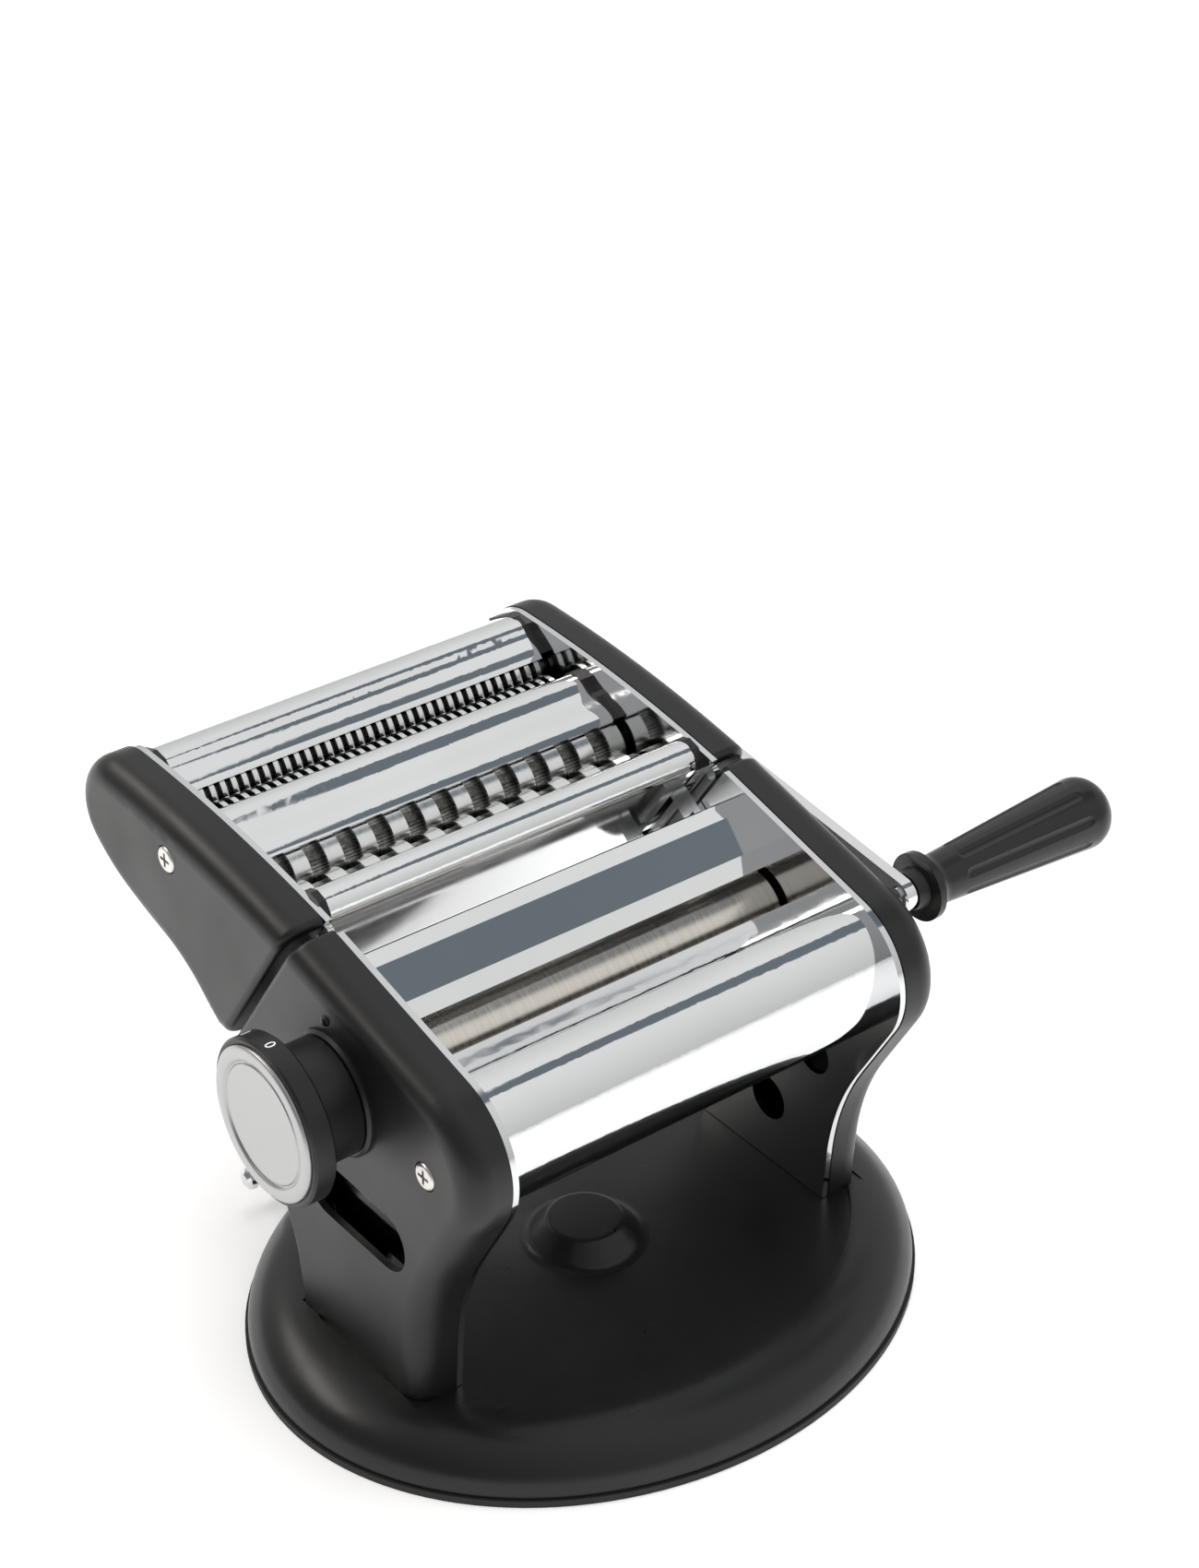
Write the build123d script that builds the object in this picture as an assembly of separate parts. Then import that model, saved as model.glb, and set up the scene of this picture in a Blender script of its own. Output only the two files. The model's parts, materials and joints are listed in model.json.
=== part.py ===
from build123d import *
import os
from math import atan2, cos, degrees, hypot, pi, radians, sin

os.makedirs("parts", exist_ok=True)

# ---- base ---------------------------------------------------------------
BASE_A, BASE_B = 120.5, 102.0          # outer half axes of the oval shell
RIM_W = 22.0                           # width of the convex rim
RIM_FOOT_Z, RIM_TOP_Z = 4.0, 20.5
FLOOR_Z = 19.6                         # flat area the machine stands on
ROOF_Z = 17.0                          # underside of that flat area
SHELL_T = 2.8
RING_H, RING_LIP, RING_W = 2.6, 1.0, 8.0
BOSS_R_LOW, BOSS_R_TOP, BOSS_TOP_Z = 21.0, 13.0, 28.0

# ---- side frames --------------------------------------------------------
PLATE_IN, PLATE_OUT = 76.8, 79.0
COVER_IN, COVER_OUT = 79.3, 95.0
COVER_T = 2.5
EDGE_R, SEAM_R = 9.0, 2.5
POCKET_STEPS = ((3.1, 6.5), (4.9, 4.0), (9.0, COVER_T))   # inset and wall left at the face
SEAM_SLOPE = 1.48                      # rise over run of the seam between the two units
SEAM_Y_MAIN, SEAM_Y_UNIT = 36.0, 39.9  # seam position at SEAM_Z
SEAM_Z = 150.0
TOP_SLOPE, TOP_Z0 = 0.233, 160.0
PLATE_INSET = 0.3
PLATE_SEAM_BACK = 2.5
SLOT_Z0, SLOT_Z1, SLOT_Y0, SLOT_Y1 = 69.0, 91.0, -32.0, 23.0

# ---- rollers ------------------------------------------------------------
ROLL_R, ROLL_X = 15.5, 75.0
FRONT_C = (-30.5, 121.5)
REAR_C = (3.5, 121.5)
GAP_TRAVEL = 2.5
JOURNAL_R, SOCKET_OUT_R, SOCKET_R = 5.0, 6.5, 4.05
SOCKET_END, SOCKET_DEPTH = 96.0, 18.0
BUSH_T = 2.6
RUN = 0.06                             # radial running clearance
AIR = 0.3                              # clearance between moving bodies
GEAR_X0, GEAR_X1 = 81.5, 88.0
TEETH = 12

# ---- dial ---------------------------------------------------------------
DIAL_C = (3.6, 122.7)
DIAL_R, DISC_R, NECK_R, COLLAR_R = 28.3, 26.1, 20.0, 21.5
DIAL_X0, DIAL_X1, NECK_X1 = -121.0, -113.0, -97.6
COLLAR_X0 = -97.0
CAM_X0, CAM_X1, CAM_R = -84.6, -81.4, 9.0
CAM_TURN = 210.0
SHAFT_R = 5.0

# ---- cutter unit --------------------------------------------------------
TILT = radians(11.6)
CUT_CD = 20.0
WIDE_REAR, NARROW_REAR = (84.0, 147.5), (129.5, 157.0)
WIDE_FRONT = (WIDE_REAR[0] - CUT_CD * cos(TILT), WIDE_REAR[1] - CUT_CD * sin(TILT))
NARROW_FRONT = (NARROW_REAR[0] - CUT_CD * cos(TILT), NARROW_REAR[1] - CUT_CD * sin(TILT))
WIDE_R, WIDE_CORE, WIDE_PITCH, WIDE_RING = 11.4, 8.2, 13.0, 6.2
NARROW_R, NARROW_CORE, NARROW_PITCH, NARROW_RING = 11.0, 8.6, 4.22, 1.9
CAP_X = 74.0
SHEET_T = 0.8

# ---- crank --------------------------------------------------------------
GRIP_C = (-35.0, 134.6)
ARM_X0, ARM_X1, ARM_W = 104.0, 108.0, 12.0
CRANK_R = 4.0
SPINDLE_R, SPINDLE_X1 = 3.5, 186.0
GRIP_X0, GRIP_X1 = 108.5, 198.3
GRIP_NECK, GRIP_R = 8.8, 13.0
FLUTES, FLUTE_R, FLUTE_DEEP = 8, 3.4, 0.8

# ---- suction ------------------------------------------------------------
LEVER_Z, LEVER_Y, LEVER_X = 11.5, 104.5, -66.0
LEVER_R, HEAD_R = 2.0, 4.3
CAM_E, PIN_R = 2.2, 3.0
SUCT_R = 3.2


def rod(c, r, x0, x1):
    return Pos((x0 + x1) / 2, c[0], c[1]) * Rot(0, 90, 0) * Cylinder(r, x1 - x0)


def tube(c, r_out, r_in, x0, x1):
    return rod(c, r_out, x0, x1) - rod(c, r_in, x0 - 1, x1 + 1)


def block(x0, x1, y0, y1, z0, z1):
    return Pos((x0 + x1) / 2, (y0 + y1) / 2, (z0 + z1) / 2) * Box(x1 - x0, y1 - y0, z1 - z0)


def prism(face, x0, x1):
    """Extrude a face drawn in (y, z) along X."""
    return extrude(Plane.YZ.offset(x0) * face, x1 - x0, dir=(1, 0, 0))


def area(*edges):
    return make_face(Curve() + list(edges))


def polygon(*points):
    return make_face(Polyline(*points, close=True))


def turned(c, *steps):
    """Turn stepped (x, radius) corners about the X line through c."""
    pts = [(steps[0][0], 0), *steps, (steps[-1][0], 0)]
    plane = Plane(origin=(0, c[0], c[1]), x_dir=(1, 0, 0), z_dir=(0, -1, 0))
    return revolve(plane * polygon(*pts), Axis((0, c[0], c[1]), (1, 0, 0)))


def shifted(points, dist):
    """Move a chain of points sideways by dist, mitred at the corners."""
    out = []
    for i, (y, z) in enumerate(points):
        before = points[max(i - 1, 0)]
        after = points[min(i + 1, len(points) - 1)]
        normals = []
        for a, b in ((before, (y, z)), ((y, z), after)):
            length = hypot(b[0] - a[0], b[1] - a[1])
            if length > 0:
                normals.append(((a[1] - b[1]) / length, (b[0] - a[0]) / length))
        ny = sum(n[0] for n in normals) / len(normals)
        nz = sum(n[1] for n in normals) / len(normals)
        size = ny * ny + nz * nz
        out.append((y + dist * ny / size, z + dist * nz / size))
    return out


def sheet(points, thick, x0, x1):
    """Bent strip with sharp folds; its thickness lies to the left of the chain."""
    return prism(polygon(*points, *reversed(shifted(points, thick))), x0, x1)


def smooth_sheet(points, thick, x0, x1):
    """Bent strip that follows a smooth curve."""
    other = shifted(points, thick)
    face = area(Spline(*points), Line(points[-1], other[-1]),
                Spline(*reversed(other)), Line(other[0], points[0]))
    return prism(face, x0, x1)


def both(part):
    return part + mirror(part, Plane.YZ)


def save(part, name):
    export_step(part, "parts/" + name + ".step")


def seam_y(z, at):
    return at + (SEAM_Z - z) / SEAM_SLOPE


# ---- outlines of the two units, drawn in (y, z) -------------------------
def arcs(start, tangent, *points):
    """Chain of arcs through points, each leaving in the direction the last arrived."""
    out = []
    for point in points:
        arc = TangentArc(start, point, tangent=tangent)
        out.append(arc)
        start, tangent = point, arc % 1
    return out


BULGE_C, BULGE_R = (-39.5, 121.2), 28.6
LEG_FRONT, LEG_REAR = (-35.4, FLOOR_Z), (30.0, FLOOR_Z)


def on_bulge(angle):
    return (BULGE_C[0] + BULGE_R * cos(radians(angle)), BULGE_C[1] + BULGE_R * sin(radians(angle)))


def main_outline(seam_at):
    top_y = (seam_at + (SEAM_Z - TOP_Z0) / SEAM_SLOPE) / (1 + TOP_SLOPE / SEAM_SLOPE)
    corner = (top_y, TOP_Z0 + TOP_SLOPE * top_y)
    low = (seam_y(106.0, seam_at), 106.0)
    knee, waist = (-36.6, 38.0), (-49.95, 82.05)
    front = [Line(LEG_FRONT, knee), *arcs(knee, (-0.065, 1), waist), Line(waist, on_bulge(210)),
             ThreePointArc(on_bulge(210), on_bulge(155), on_bulge(103)), Line(on_bulge(103), corner)]
    shin = (32.2, 35.5)
    rear = [*arcs(low, (1 / SEAM_SLOPE, -1), (60.5, 80.0), shin), Line(shin, LEG_REAR)]
    return area(*front, Line(corner, low), *rear, Line(LEG_REAR, LEG_FRONT))


TAIL_C, TAIL_R, TAIL_END = (137.0, 156.0), 20.3, radians(-50)


def unit_outline(seam_at):
    start = (seam_y(166.5, seam_at), 166.5)
    foot = (seam_y(103.5, seam_at), 103.5)
    crest = (TAIL_C[0], TAIL_C[1] + TAIL_R)
    mid = (TAIL_C[0] + TAIL_R * cos(radians(15)), TAIL_C[1] + TAIL_R * sin(radians(15)))
    tail = (TAIL_C[0] + TAIL_R * cos(TAIL_END), TAIL_C[1] + TAIL_R * sin(TAIL_END))
    under = arcs(tail, (sin(TAIL_END), -cos(TAIL_END)), (130, 129), (107.6, 122.3), (86, 111.4), (75.5, 103.8))
    return area(*arcs(crest, (-1, 0), start), ThreePointArc(crest, mid, tail), *under,
                Line((75.5, 103.8), foot), Line(foot, start))


def outer_edges(part, test):
    face = part.faces().sort_by(Axis.X)[-1]
    return [e for e in face.edges() if test(e.center())]


def try_fillet(part, edges, radii):
    """Round the edges with the first radius the shape accepts."""
    for r in radii:
        try:
            out = fillet(edges, r)
            if out.is_valid and out.volume > 0:
                return out
        except (ValueError, RuntimeError):
            continue
    return part


def cover(outline, seam_test, leg_test):
    """Right hand cover: rounded outside, hollow towards the plate."""
    body = prism(outline, COVER_IN, COVER_OUT)

    def crown(p):
        return not seam_test(p) and not leg_test(p)

    body = try_fillet(body, outer_edges(body, crown), (EDGE_R, 7.0, 5.0, 3.0))
    body = try_fillet(body, outer_edges(body, seam_test), (SEAM_R, 1.5, 0.8))
    start = COVER_IN - 1
    for inset, depth in POCKET_STEPS:
        inner = offset(outline, -inset, kind=Kind.INTERSECTION)
        body = body - prism(inner, start, COVER_OUT - depth)
    return body


def foot_room(part):
    """Opens a cover's foot for the plate's flange and its screws."""
    return part - block(COVER_IN - 1, 90.5, -28.3, 22.3, FLOOR_Z - 1, FLOOR_Z + 6)


def screw_post(c, x1):
    return rod(c, 5.0, COVER_IN, x1)


def screw_hole(c):
    return rod(c, 2.2, 0, COVER_OUT + 1) + rod(c, 5.0, COVER_OUT - 1.6, COVER_OUT + 1)


def screw(c, reach):
    """Cross recess screw along X, head outwards."""
    head = rod(c, 4.7, COVER_OUT - 1.6, COVER_OUT + 0.7)
    head = fillet(head.faces().sort_by(Axis.X)[-1].edges(), 1.2)
    cross = Pos(COVER_OUT + 1, c[0], c[1]) * (Box(3.4, 5.4, 1.1) + Box(3.4, 1.1, 5.4))
    return head - cross + rod(c, 2.0, reach, COVER_OUT - 1.5)


MAIN_SCREW_L, MAIN_SCREW_R = (-44.5, 119.8), (-56.5, 127.0)
UNIT_SCREW_L, UNIT_SCREW_R = (98.7, 159.7), (97.0, 132.0)


def main_covers():
    shape = main_outline(SEAM_Y_MAIN)
    low_z = 103.0

    def seam(p):
        return p.Y > 26 and p.Z > low_z

    def legs(p):
        return p.Z < FLOOR_Z + 1 or (p.Y > 20 and p.Z <= low_z)

    raw = foot_room(cover(shape, seam, legs))
    right = raw + screw_post(MAIN_SCREW_R, COVER_OUT - COVER_T) - screw_hole(MAIN_SCREW_R)
    right = right - rod(FRONT_C, SOCKET_OUT_R + 0.8, COVER_IN, COVER_OUT + 1)
    left = raw + screw_post(MAIN_SCREW_L, COVER_OUT - COVER_T) - screw_hole(MAIN_SCREW_L)
    half = (SLOT_Z1 - SLOT_Z0) / 2
    mid_z = (SLOT_Z1 + SLOT_Z0) / 2
    span = SLOT_Y1 - SLOT_Y0
    slot = Plane.YZ.offset(COVER_OUT - 5) * Pos((SLOT_Y0 + SLOT_Y1) / 2, mid_z) * SlotOverall(span, 2 * half)
    left = left - extrude(slot, 8, dir=(1, 0, 0)) - rod(DIAL_C, 9.0, COVER_IN, COVER_OUT + 1)
    save(right, "side_cover_right")
    save(mirror(left, Plane.YZ), "side_cover_left")


def unit_covers():
    shape = unit_outline(SEAM_Y_UNIT)

    def seam(p):
        return p.Y < seam_y(p.Z, SEAM_Y_UNIT) + 1.5

    def none(p):
        return False

    raw = cover(shape, seam, none)
    right = raw + screw_post(UNIT_SCREW_R, COVER_OUT - COVER_T) - screw_hole(UNIT_SCREW_R)
    for c in (WIDE_REAR, NARROW_REAR):
        right = right - rod(c, SOCKET_OUT_R + 0.8, COVER_IN, COVER_OUT + 1)
    left = raw + screw_post(UNIT_SCREW_L, COVER_OUT - COVER_T) - screw_hole(UNIT_SCREW_L)
    save(right, "cutter_cover_right")
    save(mirror(left, Plane.YZ), "cutter_cover_left")


# ---- plates, rods and bushings -----------------------------------------
ROD_R = 2.5
SEAM_RODS = ((35.5, 140.0), (57.0, 108.0))
FRONT_ROD = (-44.0, 104.5)
FOOT_SCREWS_Y = (-20.0, 14.0)
UNIT_RODS = ((76.0, 116.0), (112.0, 131.0))
HOOK_TIP = (30.2, 161.3)
PANEL = (PLATE_OUT - 1, 87.5, -36.0, 27.0, 65.0, 95.0)   # pressed out behind the slot


def main_plate(left):
    shape = offset(main_outline(SEAM_Y_MAIN - PLATE_SEAM_BACK), -PLATE_INSET, kind=Kind.INTERSECTION)
    plate = prism(shape, PLATE_IN, PLATE_OUT)
    plate = plate + block(PLATE_OUT - 1, 90, -28, 22, FLOOR_Z, FLOOR_Z + 2)
    for y in FOOT_SCREWS_Y:
        plate = plate - Pos(85, y, FLOOR_Z) * Cylinder(2.0, 10)
    bush = SOCKET_OUT_R + BUSH_T if not left else JOURNAL_R + BUSH_T
    plate = plate - rod(FRONT_C, bush, 70, 85)
    half = JOURNAL_R + BUSH_T + AIR
    plate = plate - block(70, 85, REAR_C[0] - half - GAP_TRAVEL, REAR_C[0] + half,
                          REAR_C[1] - half, REAR_C[1] + half)
    for c in (*SEAM_RODS, FRONT_ROD):
        plate = plate - rod(c, ROD_R - 0.7, 70, 85)
    screw_at = MAIN_SCREW_L if left else MAIN_SCREW_R
    plate = plate - rod(screw_at, 2.0, 70, 85) - rod((-5.3, 46), 8.5, 70, 85)
    if not left:
        return plate - rod((-27.3, 78), 7.8, 70, 85)
    x0, x1, y0, y1, z0, z1 = PANEL
    shell = block(x0, x1, y0, y1, z0, z1)
    return plate + shell - block(x0 - 10, x1 - 1, y0 + 1.5, y1 - 1.5, z0 + 1.5, z1 - 1.5)


def unit_plate(left):
    shape = offset(unit_outline(SEAM_Y_UNIT), -PLATE_INSET, kind=Kind.INTERSECTION)
    plate = prism(shape, PLATE_IN, PLATE_OUT) + rod(HOOK_TIP, 2.6, PLATE_IN, PLATE_OUT)
    for c in (WIDE_REAR, WIDE_FRONT, NARROW_REAR, NARROW_FRONT):
        socket = c in (WIDE_REAR, NARROW_REAR) and not left
        plate = plate - rod(c, (SOCKET_OUT_R if socket else JOURNAL_R) + BUSH_T, 70, 85)
    for c in UNIT_RODS:
        plate = plate - rod(c, ROD_R - 0.7, 70, 85)
    return plate - rod(UNIT_SCREW_L if left else UNIT_SCREW_R, 2.0, 70, 85)


def tie_rod(c):
    """Rod between the plates with a thinner riveted end on each side."""
    x = PLATE_OUT + 0.2
    return rod(c, ROD_R, -PLATE_IN, PLATE_IN) + rod(c, ROD_R - 0.7, -x, x)


def bushing(c, r, left):
    """Flanged sleeve sitting in a plate."""
    out = tube(c, r + BUSH_T, r + RUN, PLATE_IN, PLATE_OUT + 0.6)
    return mirror(out, Plane.YZ) if left else out


def group(*parts):
    return Compound(children=[s for p in parts for s in p.solids()])


def frames():
    save(main_plate(False), "side_plate_right")
    save(mirror(main_plate(True), Plane.YZ), "side_plate_left")
    save(unit_plate(False), "cutter_plate_right")
    save(mirror(unit_plate(True), Plane.YZ), "cutter_plate_left")
    save(group(*[tie_rod(c) for c in (*SEAM_RODS, FRONT_ROD)]), "tie_rods")
    save(group(*[tie_rod(c) for c in UNIT_RODS]), "cutter_tie_rods")
    save(group(bushing(FRONT_C, SOCKET_OUT_R, False), bushing(FRONT_C, JOURNAL_R, True)), "roller_bushings")
    sleeves = []
    for c in (WIDE_REAR, NARROW_REAR):
        sleeves.append(bushing(c, SOCKET_OUT_R, False))
        sleeves.append(bushing(c, JOURNAL_R, True))
    for c in (WIDE_FRONT, NARROW_FRONT):
        sleeves.append(bushing(c, JOURNAL_R, False))
        sleeves.append(bushing(c, JOURNAL_R, True))
    save(group(*sleeves), "cutter_bushings")
    reach = PLATE_IN
    save(group(screw(MAIN_SCREW_R, reach), mirror(screw(MAIN_SCREW_L, reach), Plane.YZ)), "body_cover_screws")
    save(group(screw(UNIT_SCREW_R, reach), mirror(screw(UNIT_SCREW_L, reach), Plane.YZ)), "cutter_cover_screws")


# ---- sheet parts of the roller body ------------------------------------
def body_sheets():
    front = ((-22, 139), (-35, 143.2), (-47.5, 144.6), (-56, 138), (-59.9, 124), (-56.5, 110.5), (-49.7, 100.2),
             (-45, 96))
    save(smooth_sheet(front, -SHEET_T, -PLATE_IN, PLATE_IN), "front_cover")
    feed = ((21.2, 154.6), (20.3, 155.3), (14.1, 153.8), (1.8, 146.5), (-2.7, 141.9))
    save(sheet(feed, SHEET_T, -PLATE_IN, PLATE_IN), "feed_plate")
    blades = []
    for y in (FRONT_C[0] - 3.5, REAR_C[0] - GAP_TRAVEL / 2):
        z = REAR_C[1] - ROLL_R - 0.6
        blades.append(prism(polygon((y - 0.5, z), (y + 0.5, z), (y + 3, 93), (y - 3, 93)), -PLATE_IN, PLATE_IN))
    save(group(*blades), "scrapers")


# ---- rollers, gears and the gap carriage --------------------------------
def socket_cut(c):
    bore = rod(c, SOCKET_R, SOCKET_END - SOCKET_DEPTH, SOCKET_END + 1)
    notch = block(SOCKET_END - 3, SOCKET_END + 1, c[0] - 1.0, c[0] + 1.0, c[1] - 10, c[1] + 10)
    return bore + notch


def gear(c, r_tip, r_root, tooth, bore, phase):
    """Spur wheel with straight tapered teeth."""
    wheel = Circle(r_root)
    for k in range(TEETH):
        wide, slim = tooth * 0.75, tooth * 0.36
        flank = polygon((r_root - 1, -wide), (r_tip, -slim), (r_tip, slim), (r_root - 1, wide))
        wheel = wheel + Rot(0, 0, degrees(phase) + 360 / TEETH * k) * flank
    wheel = wheel - Circle(bore)
    return prism(Pos(*c) * wheel, GEAR_X0, GEAR_X1)


def rollers():
    x = ROLL_X
    front = turned(FRONT_C, (-80.3, JOURNAL_R), (-x, JOURNAL_R), (-x, ROLL_R), (x, ROLL_R),
                   (x, SOCKET_OUT_R), (SOCKET_END, SOCKET_OUT_R))
    save(front - socket_cut(FRONT_C), "roller_front")
    rear = turned(REAR_C, (-80.5, JOURNAL_R), (-x, JOURNAL_R), (-x, ROLL_R), (x, ROLL_R),
                  (x, JOURNAL_R), (GEAR_X1 + 0.5, JOURNAL_R))
    save(rear, "roller_rear")
    save(gear(FRONT_C, 18.0, 13.0, 3.0, SOCKET_OUT_R, 0), "gear_front")
    save(gear(REAR_C, 18.0, 13.0, 3.0, JOURNAL_R, pi / TEETH), "gear_rear")


def gap_parts():
    half = JOURNAL_R + BUSH_T
    y, z = REAR_C
    slider = block(PLATE_IN - 0.1, PLATE_OUT + AIR, y - half, y + half, z - half, z + half)
    right = slider - rod(REAR_C, JOURNAL_R + RUN, 70, 90)
    pin_y = DIAL_C[0] - CAM_R - 1.5 - AIR
    ear = block(PLATE_OUT + AIR, -CAM_X1 - AIR, pin_y - 2.5, y + half, z - 6, z + 6)
    pin = rod((pin_y, DIAL_C[1]), 1.5, PLATE_OUT + AIR, -CAM_X0)
    left = slider + ear - rod(REAR_C, JOURNAL_R + RUN, 70, 90) + pin
    save(group(right, mirror(left, Plane.YZ)), "gap_bushings")
    arm = block(ROLL_X + 0.3, PLATE_IN - 0.1, y - 8, y + 24, z - 6, z + 6)
    arm = arm - rod(REAR_C, JOURNAL_R + 0.4, 70, 90)
    save(both(arm) + rod((y + 21, z), 2.5, -ROLL_X - 1, ROLL_X + 1), "gap_yoke")


def dial_parts():
    turn = radians(CAM_TURN)
    points = []
    steps = 12
    for k in range(steps + 1):
        a = pi - turn * k / steps
        r = CAM_R + GAP_TRAVEL * k / steps
        points.append((DIAL_C[0] + r * cos(a), DIAL_C[1] + r * sin(a)))
    low = pi - turn

    def on_low(a):
        return (DIAL_C[0] + CAM_R * cos(a), DIAL_C[1] + CAM_R * sin(a))

    back = ThreePointArc(on_low(low), on_low((low - pi) / 2), points[0])
    spiral = area(Spline(*points), Line(points[-1], on_low(low)), back)
    cam = prism(spiral, CAM_X0, CAM_X1)
    save(cam + rod(DIAL_C, SHAFT_R, -117, CAM_X0 + 1), "dial_shaft")
    hole = rod(DIAL_C, SHAFT_R + RUN, -118, -70)
    ring = turned(DIAL_C, (DIAL_X0, DIAL_R - 0.8), (DIAL_X0 + 0.8, DIAL_R), (DIAL_X1 - 0.8, DIAL_R),
                  (DIAL_X1, DIAL_R - 0.8))
    ring = ring - rod(DIAL_C, DISC_R + 0.2, DIAL_X0 - 1, DIAL_X0 + 3) - rod(DIAL_C, SHAFT_R + 4, -119, -110)
    save(ring, "dial_ring")
    disc = turned(DIAL_C, (-122, 20), (-122.6, 24.5), (-122, DISC_R), (DIAL_X0 + 3, DISC_R))
    save(disc, "dial_disc")
    neck = turned(DIAL_C, (-118, SHAFT_R + 4), (DIAL_X1, SHAFT_R + 4), (DIAL_X1, NECK_R), (NECK_X1, NECK_R))
    save(neck - hole, "dial_neck")
    collar = turned(DIAL_C, (COLLAR_X0, COLLAR_R - 1), (COLLAR_X0 + 1, COLLAR_R), (-COVER_OUT, COLLAR_R),
                    (-COVER_OUT, 9.0), (-87, 9.0))
    save(collar - rod(DIAL_C, SHAFT_R + RUN, -118, -70), "dial_collar")


# ---- cutter unit --------------------------------------------------------
def ringed(c, core, r, ring_w, centres, socket):
    steps = [(-80.3, JOURNAL_R), (-ROLL_X, JOURNAL_R), (-ROLL_X, core)]
    for x in centres:
        steps += [(x - ring_w / 2, core), (x - ring_w / 2, r), (x + ring_w / 2, r), (x + ring_w / 2, core)]
    steps += [(ROLL_X, core)]
    end_r = SOCKET_OUT_R if socket else JOURNAL_R
    end_x = SOCKET_END if socket else GEAR_X1 + 0.5
    steps += [(ROLL_X, end_r), (end_x, end_r)]
    body = turned(c, *steps)
    return body - socket_cut(c) if socket else body


def comb(c, core, centres, width, reach, side=0.0):
    """Bar under a cutter with a finger in every groove."""
    low = c[1] - reach
    y = c[0] + side
    bar = block(-PLATE_IN, PLATE_IN, y - 1.5, y + 1.5, low - 6, low)
    for x in centres:
        bar = bar + block(x - width / 2, x + width / 2, y - 1.0, y + 1.0, low - 1, c[1] - core - 0.6)
    return bar


def cutters():
    wide_rear = [WIDE_PITCH * (k + 0.5) for k in range(-6, 6)]
    wide_front = [WIDE_PITCH * k for k in range(-5, 6)]
    narrow_rear = [NARROW_PITCH * k for k in range(-17, 18)]
    narrow_front = [NARROW_PITCH * (k + 0.5) for k in range(-17, 17)]
    save(ringed(WIDE_REAR, WIDE_CORE, WIDE_R, WIDE_RING, wide_rear, True), "cutter_wide_rear")
    save(ringed(WIDE_FRONT, WIDE_CORE, WIDE_R, WIDE_RING, wide_front, False), "cutter_wide_front")
    save(ringed(NARROW_REAR, NARROW_CORE, NARROW_R, NARROW_RING, narrow_rear, True), "cutter_narrow_rear")
    save(ringed(NARROW_FRONT, NARROW_CORE, NARROW_R, NARROW_RING, narrow_front, False), "cutter_narrow_front")
    rear_phase, front_phase = TILT + pi / TEETH, TILT
    save(gear(WIDE_REAR, 11.3, 8.2, 1.7, SOCKET_OUT_R, rear_phase), "gear_wide_rear")
    save(gear(WIDE_FRONT, 11.3, 8.2, 1.7, JOURNAL_R, front_phase), "gear_wide_front")
    save(gear(NARROW_REAR, 11.3, 8.2, 1.7, SOCKET_OUT_R, rear_phase), "gear_narrow_rear")
    save(gear(NARROW_FRONT, 11.3, 8.2, 1.7, JOURNAL_R, front_phase), "gear_narrow_front")
    save(group(comb(WIDE_REAR, WIDE_CORE, wide_front, 4.0, 13.5),
               comb(WIDE_FRONT, WIDE_CORE, wide_rear[1:-1], 4.0, 13.5, 4.0),
               comb(NARROW_REAR, NARROW_CORE, narrow_front, 1.0, 13.0),
               comb(NARROW_FRONT, NARROW_CORE, narrow_rear[1:-1], 1.0, 13.0)), "cutter_combs")


REAR_CAP = ((152.4, 167.4), (143.9, 172.3), (137.0, 174.7), (131.8, 173.9), (129.4, 171.6), (126.3, 169.9),
            (120.5, 165.8))
REAR_END = ((152.7, 167.8), (144.1, 172.8), (137.0, 175.2), (131.5, 174.4), (129.1, 172.1), (126.0, 170.4),
            (121.5, 167.2), (124.5, 168.4), (133, 168.9), (147, 165.5))
MID_CAP = ((79.2, 159.7), (90.0, 163.3), (92.5, 163.9), (95.3, 165.2), (98, 166.9), (102, 167.4), (107, 165.0))
MID_END = ((79.0, 160.2), (89.8, 163.9), (92.2, 164.5), (95.0, 165.8), (97.8, 167.5), (102, 168.0), (107.4, 165.5),
           (106.6, 164.3), (98, 163.5), (90, 161.8), (84, 160.3), (80.5, 159.3))
BAR = ((34.4, 161.6), (34.6, 164.6), (36.9, 168.1), (41.2, 169.3), (45, 168), (52, 162))
BAR_END = ((33.9, 161.5), (34.1, 164.8), (36.6, 168.5), (41.2, 169.8), (45.3, 168.4), (52.4, 162.4), (51, 161),
           (44, 161))


def unit_sheets():
    save(smooth_sheet(REAR_CAP, SHEET_T, -CAP_X, CAP_X), "cutter_cover_rear")
    save(smooth_sheet(MID_CAP, -SHEET_T, -CAP_X, CAP_X), "cutter_cover_middle")
    save(smooth_sheet(BAR, -SHEET_T, -CAP_X, CAP_X), "cutter_cover_front")
    ends = []
    for shape in (REAR_END, MID_END, BAR_END):
        end = prism(polygon(*shape), CAP_X, PLATE_IN)
        ends += [end, mirror(end, Plane.YZ)]
    save(group(*ends), "cutter_end_caps")
    wall = sheet(((39.4, 158.6), (66.5, 118.7)), -SHEET_T, -74.4, 74.4)
    save(wall, "cutter_front_wall")


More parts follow.
